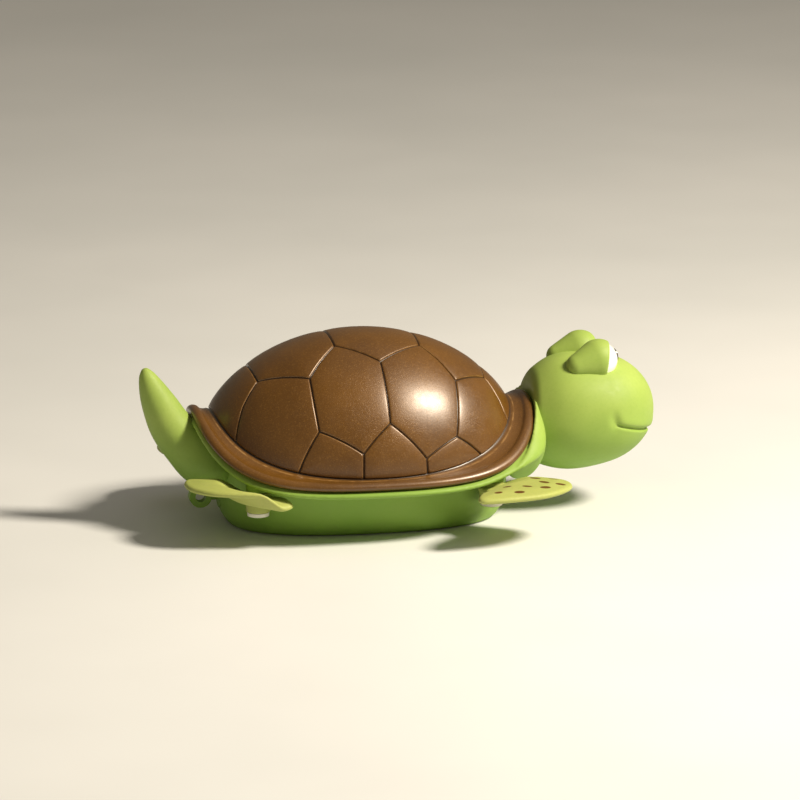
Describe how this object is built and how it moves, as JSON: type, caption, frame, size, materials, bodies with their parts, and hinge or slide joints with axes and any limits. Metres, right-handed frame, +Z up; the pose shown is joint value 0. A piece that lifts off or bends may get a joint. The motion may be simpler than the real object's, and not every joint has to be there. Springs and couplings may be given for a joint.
{
  "type": "floating pool thermometer",
  "caption": "Turtle-shaped floating pool thermometer with a domed shell, swivelling flippers, a glass thermometer behind a hinged belly cover and a pull-out drain plug.",
  "frame": {"origin": "on the flat belly, under the middle of the shell", "axes": "+X towards the head, +Y towards the turtle's left side, +Z up"},
  "size_m": [0.2158, 0.1586, 0.0787],
  "materials": {
    "shell_plastic": "glossy dark brown with a fine metallic speckle",
    "skin_plastic": "semi-gloss yellow-green paint",
    "eye_white": "glossy white paint",
    "pupil_black": "glossy black paint",
    "seal_rubber": "matt black rubber",
    "screw_steel": "stainless steel",
    "ballast_steel": "zinc-plated steel",
    "tube_glass": "clear glass",
    "spirit_red": "red spirit",
    "scale_white": "white printed plastic",
    "cover_clear": "clear smoked plastic",
    "clip_plastic": "white nylon"
  },
  "bodies": {
    "float": {"carapace": "shell_plastic", "shell_gasket": "seal_rubber", "hull": "skin_plastic", "shell_screws": "screw_steel", "screw_caps": "seal_rubber", "ballast_weights": "ballast_steel", "ballast_screws": "screw_steel", "head": "skin_plastic", "neck_seal": "seal_rubber", "neck_retainer": "clip_plastic", "eyeball_right": "eye_white", "eye_hood_right": "skin_plastic", "pupil_right": "pupil_black", "eyeball_left": "eye_white", "eye_hood_left": "skin_plastic", "pupil_left": "pupil_black", "tail": "skin_plastic", "tether_eye": "screw_steel", "flipper_washers": "clip_plastic", "scale_plate": "scale_white", "glass_tube": "tube_glass", "spirit_column": "spirit_red", "tube_saddles": "clip_plastic", "scale_screws": "screw_steel", "cover_hinge_pin": "screw_steel"},
    "cover": {"thermometer_cover": "cover_clear"},
    "drain_plug": {"drain_plug": "clip_plastic", "drain_seal": "seal_rubber"},
    "flipper_front_right": {"flipper_front_right": "skin_plastic"},
    "flipper_front_left": {"flipper_front_left": "skin_plastic"},
    "flipper_rear_right": {"flipper_rear_right": "skin_plastic"},
    "flipper_rear_left": {"flipper_rear_left": "skin_plastic"}
  },
  "joints": [
    {"name": "cover_hinge", "type": "hinge", "parent": "float", "child": "cover", "pos_m": [0.0462, 0, 0.0036], "axis": [0, -1, 0], "range_deg": [0, 90]},
    {"name": "drain_pull", "type": "slide", "parent": "float", "child": "drain_plug", "axis": [0, 0, -1], "range_m": [0, 0.012]},
    {"name": "swivel_front_right", "type": "hinge", "parent": "float", "child": "flipper_front_right", "pos_m": [0.047, -0.0395, 0.015], "axis": [0, 0, 1], "range_deg": [-15, 15]},
    {"name": "swivel_front_left", "type": "hinge", "parent": "float", "child": "flipper_front_left", "pos_m": [0.047, 0.0395, 0.015], "axis": [0, 0, 1], "range_deg": [-15, 15]},
    {"name": "swivel_rear_right", "type": "hinge", "parent": "float", "child": "flipper_rear_right", "pos_m": [-0.05, -0.0375, 0.015], "axis": [0, 0, 1], "range_deg": [-15, 15]},
    {"name": "swivel_rear_left", "type": "hinge", "parent": "float", "child": "flipper_rear_left", "pos_m": [-0.05, 0.0375, 0.015], "axis": [0, 0, 1], "range_deg": [-15, 15]}
  ]
}
